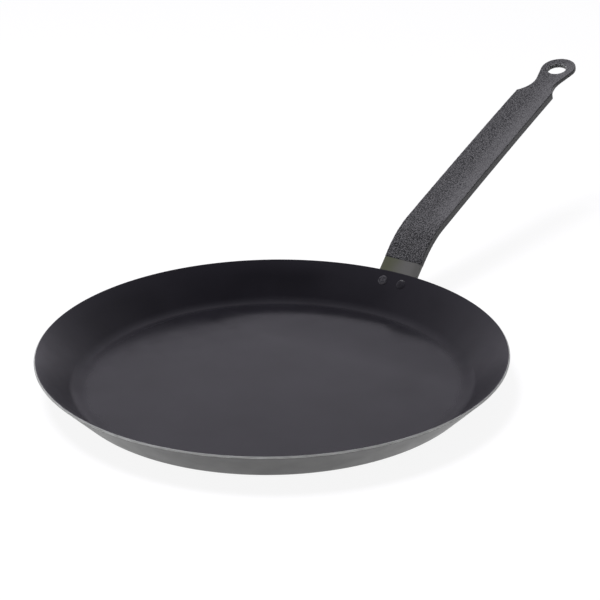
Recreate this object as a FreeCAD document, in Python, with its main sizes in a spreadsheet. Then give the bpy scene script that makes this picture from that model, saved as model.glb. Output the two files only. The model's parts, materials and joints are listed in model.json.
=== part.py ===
import FreeCAD
import Part
import Sketcher
import math
import os
from FreeCAD import Vector

# A steel crepe pan: a low pressed dish, a bent strip handle riveted to the outside of its wall,
# and a textured coating on the strip. The origin is the middle of the underside, the handle
# runs along +X and rises, and +Z is up.

# Driving dimensions, in millimetres and degrees.
DIMENSIONS = {
    # Dish.
    "rim_diameter": 260.0,  # outside, across the lower corner of the cut edge
    "pan_height": 21.8,  # table to the upper corner of the cut edge
    "sheet": 1.5,  # thickness of the pressed steel
    "wall_angle": 46.0,  # wall above the horizontal
    "bend_radius": 9.0,  # inside, where the floor turns up into the wall
    "rim_round": 0.3,  # both corners of the cut edge
    # Strip.
    "strip_width": 25.0,
    "strip_thickness": 4.6,
    "edge_round": 0.4,  # rolled long edges
    "foot_length": 15.0,  # below the rim, along the wall
    "rise_length": 13.7,  # straight on above the rim
    "knee_radius": 60.5,  # top face, where the rise turns over into the grip
    "grip_angle": 20.1,  # slope of the grip where it leaves the knee
    "arch_radius": 4860.0,  # top face of the grip, very slightly arched
    "grip_length": 180.9,  # knee to the middle of the eye, along the top face
    # Eye and neck, pressed thinner and punched from the end of the strip.
    "eye_thickness": 2.5,
    "press_length": 20.0,  # taper from the strip's thickness to the eye's
    "press_end": 14.0,  # end of the taper to the middle of the eye
    "eye_diameter": 23.2,
    "eye_offset": 1.1,  # eye and neck beside the middle of the strip
    "neck_width": 15.4,
    "scallop_radius": 19.2,  # hollow on each side of the neck
    "flank_length": 13.7,  # straight side between the hollow and the eye
    "hole_diameter": 12.4,
    "hole_setback": 1.8,  # hole's middle from the eye's middle, toward the dish
    # Coating.
    "coat": 0.15,  # thickness on every coated face
    "coat_start": 9.1,  # rim to the edge of the coating, along the strip
    # Rivets.
    "rivet_spacing": 13.0,
    "rivet_drop": 7.0,  # rim to the rivets, down the wall
    "shank_diameter": 4.0,  # also the holes, which the driven rivets fill
    "head_diameter": 6.2,  # low head inside the dish
    "head_height": 0.7,
    "tail_diameter": 7.0,  # driven end on the underside of the strip
    "tail_height": 2.0,
}

document = FreeCAD.newDocument("crepe_pan")
sheet = document.addObject("Spreadsheet::Sheet", "sizes")
for row, (alias, number) in enumerate(DIMENSIONS.items(), start=1):
    sheet.set(f"A{row}", alias)
    sheet.set(f"B{row}", str(number))
    sheet.setAlias(f"B{row}", alias)
document.recompute()

# Sine of the turn under which two edges count as meeting smoothly.
SMOOTH = 0.001

# Formulas that several pieces share.
NO_SKIN = "0"
WALL = "sizes.wall_angle"
RIM_RADIUS = "(sizes.rim_diameter / 2)"
# Height of the lower corner of the cut edge, which is square to the wall.
RIM_LEVEL = f"(sizes.pan_height - sizes.sheet * cos({WALL}))"
# How deep the flat strip is hollowed to lie on the round wall over its whole width.
SEAT_ALLOWANCE = 1.1
FOOT_RADIUS = f"({RIM_RADIUS} - sizes.foot_length * cos({WALL}))"
SEAT = f"({SEAT_ALLOWANCE} * sizes.strip_width^2 * sin({WALL}) / (8 * {FOOT_RADIUS}))"
# How far the round wall draws back from a flat at the rivets.
RIVET_RADIUS = f"({RIM_RADIUS} - sizes.rivet_drop * cos({WALL}))"
RIVET_RECESS = f"(sizes.rivet_spacing^2 * sin({WALL}) / (8 * {RIVET_RADIUS}))"
# Strip left past the middle of the eye before the end is punched, beyond the eye's own edge.
STOCK_PAST_EYE = "(sizes.eye_diameter / 2 + sizes.strip_thickness)"
ARCH_TURN = "(sizes.grip_length / sizes.arch_radius * 180 / pi)"
EYE_ANGLE = f"(sizes.grip_angle - {ARCH_TURN})"


def value(formula):
    """A formula's number with the sheet as it stands."""
    return float(sheet.evalExpression(formula))


def new_body(name):
    body = document.addObject("PartDesign::Body", name)
    body.Label = name
    return body


def new_sketch(body, name, role, offset=None):
    """A sketch on one of the body's own planes, moved and tilted by an offset formula."""
    sketch = body.newObject("Sketcher::SketchObject", name)
    plane = next(feature for feature in body.Origin.OriginFeatures if feature.Role == role)
    sketch.AttachmentSupport = (plane, "")
    sketch.MapMode = "FlatFace"
    if offset:
        sketch.setExpression("AttachmentOffset", offset)
    document.recompute()
    return sketch


def line(start, end):
    return Part.LineSegment(Vector(*start), Vector(*end))


def arc(centre, radius, first, last):
    """An arc that runs anticlockwise between two angles in degrees."""
    circle = Part.Circle(Vector(*centre), Vector(0, 0, 1), radius)
    return Part.ArcOfCircle(circle, math.radians(first), math.radians(last))


def tangent_at(edge, end):
    parameter = edge.FirstParameter if end == 1 else edge.LastParameter
    return edge.tangent(parameter)[0]


def closed_outline(sketch, edges):
    """Add edges in order as one closed outline: ends are joined, and smooth ends made tangent."""
    before = sketch.GeometryCount
    sketch.addGeometry(edges)
    ends = [(a, b) for a in (1, 2) for b in (1, 2)]
    for number, edge in enumerate(edges):
        following = (number + 1) % len(edges)
        first, second = before + number, before + following
        point = sketch.getPoint
        gap = lambda pair: point(first, pair[0]).distanceToPoint(point(second, pair[1]))
        a, b = min(ends, key=gap)
        turn = tangent_at(edge, a).cross(tangent_at(edges[following], b)).Length
        kind = "Tangent" if turn < SMOOTH else "Coincident"
        sketch.addConstraint(Sketcher.Constraint(kind, first, a, second, b))


def rule(sketch, kind, *places):
    sketch.addConstraint(Sketcher.Constraint(kind, *places))


def size(sketch, name, formula, kind, *places):
    """A named dimension tied to the sheet."""
    angular = kind == "Angle"
    number = math.radians(value(formula)) if angular else value(formula)
    index = sketch.addConstraint(Sketcher.Constraint(kind, *places, number))
    sketch.renameConstraint(index, name)
    sketch.setExpression(f"Constraints.{name}", f"({formula}) * 1 deg" if angular else formula)


def cut(body, kind, name, sketch):
    """A cut that has to take something away."""
    before = body.Shape.Volume
    feature = body.newObject(kind, name)
    feature.Profile = sketch
    if kind == "PartDesign::Pocket":
        feature.Type = "ThroughAll"
        feature.SideType = "Symmetric"
    else:
        feature.ReferenceAxis = (sketch, ["V_Axis"])
        feature.Angle = 360
    document.recompute()
    if body.Shape.Volume >= before:
        raise RuntimeError(f"{name} cuts nothing")


def round_edges(body, name, base, edges, formula):
    fillet = body.newObject("PartDesign::Fillet", name)
    fillet.Base = (base, edges)
    fillet.setExpression("Radius", formula)
    document.recompute()


def named_edges(shape, wanted):
    return [f"Edge{number}" for number, edge in enumerate(shape.Edges, start=1) if wanted(edge)]


def pan_section(body):
    """Half section of the dish: flat floor, bend, flared wall and a cut edge square to the wall."""
    sketch = new_sketch(body, "section", "XZ_Plane")
    wall = math.radians(value(WALL))
    thick = value("sizes.sheet")
    inner = value("sizes.bend_radius")
    rim = value(RIM_RADIUS)
    level = value(RIM_LEVEL)
    floor = rim - level / math.tan(wall) - (inner + thick) * math.tan(wall / 2)
    centre = (floor, inner + thick)
    bend_end = lambda radius: (floor + radius * math.sin(wall), inner + thick - radius * math.cos(wall))
    rim_inner = (rim - thick * math.sin(wall), level + thick * math.cos(wall))
    stop = -90 + value(WALL)
    under, outer_bend, outer_wall, edge, inner_wall, inner_bend, top, axis = range(8)
    closed_outline(sketch, [
        line((0, 0), (floor, 0)),
        arc(centre, inner + thick, -90, stop),
        line(bend_end(inner + thick), (rim, level)),
        line((rim, level), rim_inner),
        line(rim_inner, bend_end(inner)),
        arc(centre, inner, -90, stop),
        line((floor, thick), (0, thick)),
        line((0, thick), (0, 0)),
    ])
    rule(sketch, "Coincident", under, 1, -1, 1)
    rule(sketch, "Horizontal", under)
    rule(sketch, "Horizontal", top)
    rule(sketch, "Vertical", axis)
    rule(sketch, "Coincident", outer_bend, 3, inner_bend, 3)
    rule(sketch, "Parallel", outer_wall, inner_wall)
    rule(sketch, "Perpendicular", outer_wall, edge)
    size(sketch, "rim_radius", RIM_RADIUS, "DistanceX", -1, 1, edge, 1)
    size(sketch, "height", "sizes.pan_height", "DistanceY", -1, 1, edge, 2)
    size(sketch, "sheet", "sizes.sheet", "DistanceY", -1, 1, axis, 1)
    size(sketch, "bend_radius", "sizes.bend_radius", "Radius", inner_bend)
    size(sketch, "wall_angle", WALL, "Angle", outer_wall)
    return sketch


def rivet_holes(body):
    """Two holes square to the wall, either side of the handle's middle line."""
    offset = f"placement(vector({RIM_RADIUS}; 0; {RIM_LEVEL}); rotation(0; -{WALL}; 0))"
    sketch = new_sketch(body, "rivet_rows", "XY_Plane", offset)
    drop = value("sizes.rivet_drop")
    for number, side in enumerate((1, -1)):
        middle = Vector(-drop, side * value("sizes.rivet_spacing") / 2, 0)
        sketch.addGeometry(Part.Circle(middle, Vector(0, 0, 1), value("sizes.shank_diameter") / 2))
        size(sketch, f"shank_{number}", "sizes.shank_diameter", "Diameter", number)
        size(sketch, f"drop_{number}", "sizes.rivet_drop", "DistanceX", number, 3, -1, 1)
    size(sketch, "row", "sizes.rivet_spacing / 2", "DistanceY", -1, 1, 0, 3)
    size(sketch, "other_row", "sizes.rivet_spacing / 2", "DistanceY", 1, 3, -1, 1)
    cut(body, "PartDesign::Pocket", "rivet_holes", sketch)


def make_pan():
    body = new_body("pan_body")
    dish = body.newObject("PartDesign::Revolution", "dish")
    dish.Profile = pan_section(body)
    dish.ReferenceAxis = (dish.Profile[0], ["V_Axis"])
    dish.Angle = 360
    document.recompute()
    level = value(RIM_LEVEL)
    near = value("sizes.sheet") / 2
    corners = named_edges(dish.Shape, lambda edge: edge.Closed and edge.CenterOfMass.z > level - near)
    round_edges(body, "rim_round", dish, corners, "sizes.rim_round")
    rivet_holes(body)
    return body


def strip_side(body, start, skin):
    """Side view of the strip, with a skin outside it: foot and rise, knee, long grip."""
    sketch = new_sketch(body, "side", "XZ_Plane")
    first_x = f"{RIM_RADIUS} - ({SEAT} + {skin}) * sin({WALL}) + ({start}) * cos({WALL})"
    first_z = f"{RIM_LEVEL} + ({SEAT} + {skin}) * cos({WALL}) + ({start}) * sin({WALL})"
    length = f"sizes.rise_length - ({start})"
    thickness = f"sizes.strip_thickness + 2 * {skin}"
    knee = f"sizes.knee_radius + {skin}"
    arch = f"sizes.arch_radius + {skin}"
    knee_turn = f"{WALL} - sizes.grip_angle"
    arch_turn = f"(sizes.grip_length + {STOCK_PAST_EYE}) / sizes.arch_radius * 180 / pi"

    slope = Vector(math.cos(math.radians(value(WALL))), math.sin(math.radians(value(WALL))), 0)
    down = Vector(slope.y, -slope.x, 0)
    heel = Vector(value(first_x), value(first_z), 0)
    knee_start = heel + slope * value(length)
    knee_centre = knee_start + down * value(knee)
    wall_mark = 90 + value(WALL)
    grip_mark = 90 + value("sizes.grip_angle")
    end_mark = grip_mark - value(arch_turn)
    ray = lambda angle: Vector(math.cos(math.radians(angle)), math.sin(math.radians(angle)), 0)
    arch_centre = knee_centre + ray(grip_mark) * (value(knee) - value(arch))
    thick = value(thickness)
    end_top = arch_centre + ray(end_mark) * value(arch)
    end_low = arch_centre + ray(end_mark) * (value(arch) - thick)
    rise, knee_top, arch_top, end, arch_low, knee_low, rise_low, foot = range(8)
    closed_outline(sketch, [
        line(heel, knee_start),
        arc(knee_centre, value(knee), grip_mark, wall_mark),
        arc(arch_centre, value(arch), end_mark, grip_mark),
        line(end_top, end_low),
        arc(arch_centre, value(arch) - thick, end_mark, grip_mark),
        arc(knee_centre, value(knee) - thick, grip_mark, wall_mark),
        line(knee_start + down * thick, heel + down * thick),
        line(heel + down * thick, heel),
    ])
    rule(sketch, "Coincident", knee_top, 3, knee_low, 3)
    rule(sketch, "Coincident", arch_top, 3, arch_low, 3)
    rule(sketch, "Parallel", rise, rise_low)
    rule(sketch, "Perpendicular", rise, foot)
    rule(sketch, "PointOnObject", arch_top, 3, end)
    size(sketch, "first_x", first_x, "DistanceX", -1, 1, rise, 1)
    size(sketch, "first_z", first_z, "DistanceY", -1, 1, rise, 1)
    size(sketch, "slope", WALL, "Angle", rise)
    size(sketch, "length", length, "Distance", rise)
    size(sketch, "thickness", thickness, "Distance", foot)
    size(sketch, "knee_radius", knee, "Radius", knee_top)
    size(sketch, "knee_turn", knee_turn, "Angle", knee_top)
    size(sketch, "arch_radius", arch, "Radius", arch_top)
    size(sketch, "arch_turn", arch_turn, "Angle", arch_top)
    return sketch


def wall_hollow(body, skin):
    """Takes the wall's own cone off the foot, so that the strip lies on the wall face to face."""
    sketch = new_sketch(body, "wall_band", "XZ_Plane")
    low_x = f"{RIM_RADIUS} - {skin} / sin({WALL}) - {RIM_LEVEL} / tan({WALL})"
    high_z = f"{RIM_LEVEL} + (sizes.rise_length + sizes.knee_radius / 2) * sin({WALL})"
    depth = "sizes.strip_thickness"
    low = Vector(value(low_x), 0, 0)
    high = low + Vector(value(high_z) / math.tan(math.radians(value(WALL))), value(high_z), 0)
    inward = Vector(-value(depth), 0, 0)
    wall, top, inner, bottom = range(4)
    closed_outline(sketch, [
        line(low, high),
        line(high, high + inward),
        line(high + inward, low + inward),
        line(low + inward, low),
    ])
    rule(sketch, "PointOnObject", wall, 1, -1)
    rule(sketch, "Horizontal", top)
    rule(sketch, "Horizontal", bottom)
    rule(sketch, "Parallel", wall, inner)
    size(sketch, "low_x", low_x, "DistanceX", -1, 1, wall, 1)
    size(sketch, "high_z", high_z, "DistanceY", -1, 1, wall, 2)
    size(sketch, "slope", WALL, "Angle", wall)
    size(sketch, "depth", depth, "Distance", top)
    cut(body, "PartDesign::Groove", "wall_hollow", sketch)


def eye_place():
    """Formulas for the eye's middle on the strip's top face, along the handle and up."""
    rise = f"({SEAT} * -sin({WALL}) + sizes.rise_length * cos({WALL}))"
    lift = f"({SEAT} * cos({WALL}) + sizes.rise_length * sin({WALL}))"
    knee_x = f"sizes.knee_radius * (sin({WALL}) - sin(sizes.grip_angle))"
    knee_z = f"sizes.knee_radius * (cos(sizes.grip_angle) - cos({WALL}))"
    arch_x = f"sizes.arch_radius * (sin(sizes.grip_angle) - sin({EYE_ANGLE}))"
    arch_z = f"sizes.arch_radius * (cos({EYE_ANGLE}) - cos(sizes.grip_angle))"
    return f"{RIM_RADIUS} + {rise} + {knee_x} + {arch_x}", f"{RIM_LEVEL} + {lift} + {knee_z} + {arch_z}"


def eye_face():
    """Plane of the eye's top face before pressing, with its origin at the eye's middle."""
    along, up = eye_place()
    return f"placement(vector({along}; -sizes.eye_offset; {up}); rotation(0; -{EYE_ANGLE}; 0))"


def pressed_end(body, skin):
    """Thins the end of the strip from both faces, with a taper toward the grip."""
    along, up = eye_place()
    offset = f"placement(vector({along}; {up}; 0); rotation({EYE_ANGLE}; 0; 0))"
    sketch = new_sketch(body, "press_waste", "XZ_Plane", offset)
    begin = "sizes.press_length + sizes.press_end"
    sag = f"({begin})^2 / (2 * sizes.arch_radius)"
    press = "(sizes.strip_thickness - sizes.eye_thickness) / 2"
    past = f"{STOCK_PAST_EYE} + sizes.strip_thickness"
    away = "sizes.strip_thickness"
    for name, side, face in (("top", 1, skin), ("under", -1, f"sizes.strip_thickness + {skin}")):
        # Heights count from the eye's middle on the unpressed top face: upward for the waste above
        # the strip, downward for the waste under it.
        outer = f"{face} - {side} * {sag}"
        inner = f"{face} - {press}"
        clear = f"{face} + {away}"
        point = lambda u, v: Vector(u, side * v, 0)
        corners = [
            point(-value(begin), value(outer)),
            point(-value("sizes.press_end"), value(inner)),
            point(value(past), value(inner)),
            point(value(past), value(clear)),
            point(-value(begin), value(clear)),
        ]
        first = sketch.GeometryCount
        closed_outline(sketch, [line(a, b) for a, b in zip(corners, corners[1:] + corners[:1])])
        ramp, flat, end, lid, start = range(first, first + 5)
        rule(sketch, "Horizontal", flat)
        rule(sketch, "Vertical", end)
        rule(sketch, "Horizontal", lid)
        rule(sketch, "Vertical", start)
        up_from_origin = lambda line_number, point_number: (
            (-1, 1, line_number, point_number) if side > 0 else (line_number, point_number, -1, 1))
        size(sketch, f"{name}_begin", begin, "DistanceX", ramp, 1, -1, 1)
        size(sketch, f"{name}_stop", "sizes.press_end", "DistanceX", ramp, 2, -1, 1)
        size(sketch, f"{name}_past", past, "DistanceX", -1, 1, end, 1)
        size(sketch, f"{name}_outer", outer, "DistanceY", *up_from_origin(ramp, 1))
        size(sketch, f"{name}_inner", inner, "DistanceY", *up_from_origin(flat, 1))
        size(sketch, f"{name}_clear", clear, "DistanceY", *up_from_origin(lid, 1))
    cut(body, "PartDesign::Pocket", "eye_press", sketch)


def punched_end(body, skin):
    """Neck and eye: two round hollows, straight flanks and a round end, with a skin outside them."""
    sketch = new_sketch(body, "eye_waste", "XY_Plane", eye_face())
    eye = f"sizes.eye_diameter / 2 + {skin}"
    hollow = f"sizes.scallop_radius - {skin}"
    aside = "sizes.neck_width / 2 + sizes.scallop_radius"
    clear = f"{STOCK_PAST_EYE} + sizes.strip_thickness"
    reach = math.hypot(value(eye) + value(hollow), value("sizes.flank_length"))
    back = math.sqrt(reach ** 2 - value(aside) ** 2)
    toward = 180 - math.degrees(math.atan2(value(aside), back))
    touch = toward - math.degrees(math.acos((value(eye) + value(hollow)) / reach))
    ray = lambda angle: Vector(math.cos(math.radians(angle)), math.sin(math.radians(angle)), 0)
    middle = {side: Vector(-back, side * value(aside), 0) for side in (1, -1)}
    leaves = {side: middle[side] - ray(side * touch) * value(hollow) for side in (1, -1)}
    meets = {side: ray(side * touch) * value(eye) for side in (1, -1)}
    start = {side: middle[side] - Vector(value(hollow), 0, 0) for side in (1, -1)}
    corner = {side: Vector(value(clear), start[side].y, 0) for side in (1, -1)}
    hollow_up, flank_up, tip, flank_down, hollow_down, low, far, high = range(8)
    closed_outline(sketch, [
        arc(middle[1], value(hollow), 180, touch + 180),
        line(leaves[1], meets[1]),
        arc((0, 0, 0), value(eye), -touch, touch),
        line(meets[-1], leaves[-1]),
        arc(middle[-1], value(hollow), 180 - touch, 180),
        line(start[-1], corner[-1]),
        line(corner[-1], corner[1]),
        line(corner[1], start[1]),
    ])
    rule(sketch, "Coincident", tip, 3, -1, 1)
    rule(sketch, "Symmetric", hollow_up, 3, hollow_down, 3, -1)
    rule(sketch, "Equal", hollow_up, hollow_down)
    rule(sketch, "Horizontal", hollow_up, 1, hollow_up, 3)
    rule(sketch, "Horizontal", hollow_down, 2, hollow_down, 3)
    rule(sketch, "Horizontal", low)
    rule(sketch, "Horizontal", high)
    rule(sketch, "Vertical", far)
    size(sketch, "eye_radius", eye, "Radius", tip)
    size(sketch, "hollow_radius", hollow, "Radius", hollow_up)
    size(sketch, "hollow_aside", aside, "DistanceY", -1, 1, hollow_up, 3)
    size(sketch, "flank", "sizes.flank_length", "Distance", flank_up)
    size(sketch, "clear", clear, "DistanceX", -1, 1, far, 1)
    cut(body, "PartDesign::Pocket", "eye_cut", sketch)


def hanging_hole(body):
    sketch = new_sketch(body, "hole_circle", "XY_Plane", eye_face())
    middle = Vector(-value("sizes.hole_setback"), 0, 0)
    sketch.addGeometry(Part.Circle(middle, Vector(0, 0, 1), value("sizes.hole_diameter") / 2))
    rule(sketch, "PointOnObject", 0, 3, -1)
    size(sketch, "setback", "sizes.hole_setback", "DistanceX", 0, 3, -1, 1)
    size(sketch, "diameter", "sizes.hole_diameter", "Diameter", 0)
    cut(body, "PartDesign::Pocket", "hanging_hole", sketch)


def strip_form(name, start, skin):
    """The strip from a place along it to its eye, or the same form with a skin all round it."""
    body = new_body(name)
    width = f"sizes.strip_width + 2 * {skin}"
    bar = body.newObject("PartDesign::Pad", "bar")
    bar.Profile = strip_side(body, start, skin)
    bar.SideType = "Symmetric"
    bar.setExpression("Length", width)
    document.recompute()
    # The rounding runs on from the bent long edges along the straight ones that they meet smoothly.
    bent = named_edges(bar.Shape, lambda edge: isinstance(edge.Curve, Part.Circle))
    round_edges(body, "edge_round", bar, bent, f"sizes.edge_round + {skin}")
    wall_hollow(body, skin)
    pressed_end(body, skin)
    punched_end(body, skin)
    hanging_hole(body)
    return body


def make_strip():
    body = strip_form("handle_strip", "-sizes.foot_length", NO_SKIN)
    rivet_holes(body)
    return body


def take_away(name, base, tool):
    piece = document.addObject("Part::Cut", name)
    piece.Base = base
    piece.Tool = tool
    piece.Label = name
    document.recompute()
    return piece


def make_coating(strip):
    """The coating alone: the strip's form with a skin, less the strip."""
    return take_away("handle_coating", strip_form("coated_form", "sizes.coat_start", "sizes.coat"), strip)


def rivet_section(body):
    """Half section of a driven rivet: low head, shank and domed tail."""
    sketch = new_sketch(body, "section", "XZ_Plane")
    tail_seat = f"-(sizes.strip_thickness - {SEAT})"
    tail_end = f"{tail_seat} - sizes.tail_height"
    head_seat = f"{RIVET_RECESS} + sizes.sheet / 2"
    head_edge = f"{RIVET_RECESS} + sizes.sheet"
    head_top = f"{head_edge} + sizes.head_height"
    shank = value("sizes.shank_diameter") / 2
    head = value("sizes.head_diameter") / 2
    tail = value("sizes.tail_diameter") / 2

    def dome(radius, rim_z, top_z):
        """Arc with its centre on the axis, from the rim of a cap to its crown."""
        rise = top_z - rim_z
        centre_z = (top_z ** 2 - rim_z ** 2 - radius ** 2) / (2 * rise)
        edge_mark = math.degrees(math.atan2(rim_z - centre_z, radius))
        marks = (edge_mark, 90) if rise > 0 else (-90, edge_mark)
        return arc((0, centre_z), abs(top_z - centre_z), *marks)

    axis, tail_dome, tail_flat, body_line, head_flat, head_side, head_dome = range(7)
    closed_outline(sketch, [
        line((0, value(head_top)), (0, value(tail_end))),
        dome(tail, value(tail_seat), value(tail_end)),
        line((tail, value(tail_seat)), (shank, value(tail_seat))),
        line((shank, value(tail_seat)), (shank, value(head_seat))),
        line((shank, value(head_seat)), (head, value(head_seat))),
        line((head, value(head_seat)), (head, value(head_edge))),
        dome(head, value(head_edge), value(head_top)),
    ])
    rule(sketch, "PointOnObject", axis, 1, -2)
    rule(sketch, "PointOnObject", axis, 2, -2)
    rule(sketch, "PointOnObject", tail_dome, 3, -2)
    rule(sketch, "PointOnObject", head_dome, 3, -2)
    rule(sketch, "Horizontal", tail_flat)
    rule(sketch, "Vertical", body_line)
    rule(sketch, "Horizontal", head_flat)
    rule(sketch, "Vertical", head_side)
    size(sketch, "tail_end", f"-({tail_end})", "DistanceY", axis, 2, -1, 1)
    size(sketch, "tail_seat", f"-({tail_seat})", "DistanceY", tail_flat, 1, -1, 1)
    size(sketch, "tail_radius", "sizes.tail_diameter / 2", "DistanceX", -1, 1, tail_flat, 1)
    size(sketch, "shank_radius", "sizes.shank_diameter / 2", "DistanceX", -1, 1, body_line, 1)
    size(sketch, "head_seat", head_seat, "DistanceY", -1, 1, head_flat, 1)
    size(sketch, "head_radius", "sizes.head_diameter / 2", "DistanceX", -1, 1, head_side, 1)
    size(sketch, "head_edge", head_edge, "DistanceY", -1, 1, head_side, 2)
    size(sketch, "head_top", head_top, "DistanceY", -1, 1, axis, 1)
    return sketch


def make_rivet(name, side, pan, strip):
    """A rivet square to the strip, its head shaped to the wall that it was driven against."""
    body = new_body(f"{name}_blank")
    turned = body.newObject("PartDesign::Revolution", "turned")
    turned.Profile = rivet_section(body)
    turned.ReferenceAxis = (turned.Profile[0], ["V_Axis"])
    turned.Angle = 360
    along = f"{RIVET_RADIUS}"
    across = f"{side} * sizes.rivet_spacing / 2"
    up = f"{RIM_LEVEL} - sizes.rivet_drop * sin({WALL})"
    body.setExpression("Placement", f"placement(vector({along}; {across}; {up}); rotation(0; -{WALL}; 0))")
    document.recompute()
    return take_away(name, take_away(f"{name}_on_wall", body, pan), strip)


def write_parts(pieces):
    """Write one file for each piece, after every object has been looked over."""
    document.recompute()
    for item in document.Objects:
        if "Invalid" in item.State or "Error" in item.State:
            raise RuntimeError(f"{item.Label} failed: {item.State}")
    for piece in pieces:
        if piece.Shape.isNull() or not piece.Shape.isValid() or len(piece.Shape.Solids) != 1:
            raise RuntimeError(f"{piece.Label} is not one sound solid")
    os.makedirs("parts", exist_ok=True)
    for piece in pieces:
        piece.Shape.exportStep(f"parts/{piece.Label}.step")
        box = piece.Shape.BoundBox
        print(f"{piece.Label}: {piece.Shape.Volume:.1f} mm3, top {box.ZMax:.2f} mm, end {box.XMax:.2f} mm")


pan_body = make_pan()
handle_strip = make_strip()
handle_coating = make_coating(handle_strip)
rivet_left = make_rivet("rivet_left", 1, pan_body, handle_strip)
rivet_right = make_rivet("rivet_right", -1, pan_body, handle_strip)
write_parts([pan_body, handle_strip, handle_coating, rivet_left, rivet_right])
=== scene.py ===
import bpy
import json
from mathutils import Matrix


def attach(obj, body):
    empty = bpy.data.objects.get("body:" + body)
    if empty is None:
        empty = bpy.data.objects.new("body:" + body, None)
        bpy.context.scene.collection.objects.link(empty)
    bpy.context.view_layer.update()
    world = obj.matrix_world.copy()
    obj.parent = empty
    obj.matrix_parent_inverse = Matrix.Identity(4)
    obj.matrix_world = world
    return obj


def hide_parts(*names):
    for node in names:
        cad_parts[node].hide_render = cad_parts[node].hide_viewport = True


bl_info = {
    "name": "Crepe pan",
    "version": (1, 0, 0),
    "blender": (4, 5, 0),
    "location": "3D View > Sidebar > Crepe pan",
    "description": "Dresses the packed crepe pan: blued dish, strip handle, hammered coating and rivets",
    "category": "Object",
}

import json
import math

import bmesh
import bpy
from bpy.props import FloatProperty, FloatVectorProperty, IntProperty, PointerProperty
from mathutils import Quaternion, Vector

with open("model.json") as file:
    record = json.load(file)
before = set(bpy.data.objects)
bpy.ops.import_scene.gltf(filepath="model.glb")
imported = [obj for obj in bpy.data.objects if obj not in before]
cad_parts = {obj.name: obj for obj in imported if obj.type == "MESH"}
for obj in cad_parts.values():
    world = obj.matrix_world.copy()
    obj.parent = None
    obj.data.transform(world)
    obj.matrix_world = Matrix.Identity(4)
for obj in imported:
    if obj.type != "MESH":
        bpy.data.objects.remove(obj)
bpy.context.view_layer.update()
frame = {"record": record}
BODY = "root"
MM = 0.001
HANGING_HOLE = next(m for m in frame["record"]["mounts"] if m["name"] == "hanging_hole")

# The part's frame: the origin is the middle of the dish's underside, the handle runs along +X
# and rises, and +Z is up. Every length below is in metres.

# Zones of a turned section, each with a material of its own.
ZONES = ("Outside", "Edge", "Inside")
OUTSIDE, EDGE, INSIDE = range(len(ZONES))
# Faces round a rounded corner, up the bend of the dish and over a rivet's dome.
CORNER_STEPS = 3
BEND_STEPS = 12
DOME_STEPS = 8
# Rings across the dish's floor and up its wall, and how near a bend the ring lies that holds a face flat.
FLOOR_RINGS = 14
WALL_RINGS = 6
HOLD = 0.35 * MM
# Points nearer to each other than this are one.
WELD = 0.001 * MM
# A run that is longer than whole faces by less than this share of one takes no more of them.
SLACK = 1e-6
RIVET_COUNT = 2
# Share by which the hollow in the foot is deeper than the round wall needs, as in the solids.
SEAT_ALLOWANCE = 1.1
# Rounding at the edge of the hanging hole, as a share of the rounding along the strip.
HOLE_LIP = 0.6

# Most of a noise lies between these two values.
NOISE_LOW = 0.3
NOISE_HIGH = 0.7
# Roughness of the blued sheet: smoother inside, where it is polished, than on the drawn outside, and how
# much rougher the wall is than the floor inside.
COOKING_SATIN = (0.20, 0.26)
DRAWN_SATIN = (0.30, 0.36)
WALL_SATIN = 0.14
# Strength of the film's reflection on each side, where half is that of plain lacquer or glass.
COOKING_GLOSS = 0.5
DRAWN_GLOSS = 0.35
# Radii between which the floor's satin passes into the wall's, across the bend.
SATIN_INNER = 100 * MM
SATIN_OUTER = 108 * MM
# Heights between which the film grows thinner toward the rim, and lighter as a painted reflection there.
RIM_WEAR_AND_REFLECTION_START = 13 * MM
RIM_WEAR_AND_REFLECTION_END = 21.5 * MM
# The pressed floor mirrors as if it were not quite flat: it seems to bow up a little toward the handle.
BOW_START = 45 * MM
BOW_END = 115 * MM
BOW_RISE = 2.6 * MM
# Toward the handle the floor is rubbed smoother: where that starts and ends, and how much less rough it is.
RUB_START = 20 * MM
RUB_END = 60 * MM
RUBBED = 0.08

# Dimples of the coating: how far they wander, and where crests end and pits start, as shares of the grain.
DIMPLE_DRIFT = 0.5 * MM
CREST_END = 0.2
PIT_START = 0.75
# Where the coat flowed out: across the grip from all to none, how far it builds up on each side of the
# knee's end, how much of the dimples it fills and how high it stands. The same mask paints it paler: a
# painted sheen.
FLOW_ALL = -11 * MM
FLOW_NONE = 4 * MM
FLOW_BUILD = 16 * MM
FLOW_FILL = 0.7
FLOW_LEVEL = 0.85
# Tone of the coat, from pit to crest: of itself, the painted highlight that dimples add on their crests, the
# painted sheen where the coat flowed out, and the share left on side faces, a painted shade.
TONE_BASE = 0.29
TONE_CREST_HIGHLIGHT = 0.22
TONE_SHEEN = 0.34
TONE_SIDE_SHADE = 0.25
# How far a face looks sideways, as a cosine, where it starts to be an edge and where it is one; edges are
# painted darker, a painted shade.
EDGE_START = 0.3
EDGE_FULL = 0.8
# Distance beyond the hole's radius up to which its wall gets painted highlights, and where they end.
HOLE_GLINT_FULL = 0.4 * MM
HOLE_GLINT_END = 0.8 * MM

# How bright the floor is by itself where it is seen, before the lamps, and the greys that the lamps light.
PAPER_LIFT = 0.90
PAPER_GREYS = (0.18, 0.19)
# The room's light: behind the camera, its rise toward the bright side, where that starts, as a cosine, and
# how it steepens.
ROOM_LOW = 0.065
ROOM_RISE = 0.585
ROOM_START = -0.6
ROOM_STEEP = 1.6
# The pale band at the horizon: its light, and the sine of the height at which it ends.
BAND_LIGHT = 0.46
BAND_TOP = 0.40


def linear(hex_colour):
    """A written sRGB colour as the linear numbers that Blender works with, fully opaque."""
    parts = [int(hex_colour[i:i + 2], 16) / 255 for i in (0, 2, 4)]
    return (*(p / 12.92 if p <= 0.04045 else ((p + 0.055) / 1.055) ** 2.4 for p in parts), 1.0)


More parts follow.
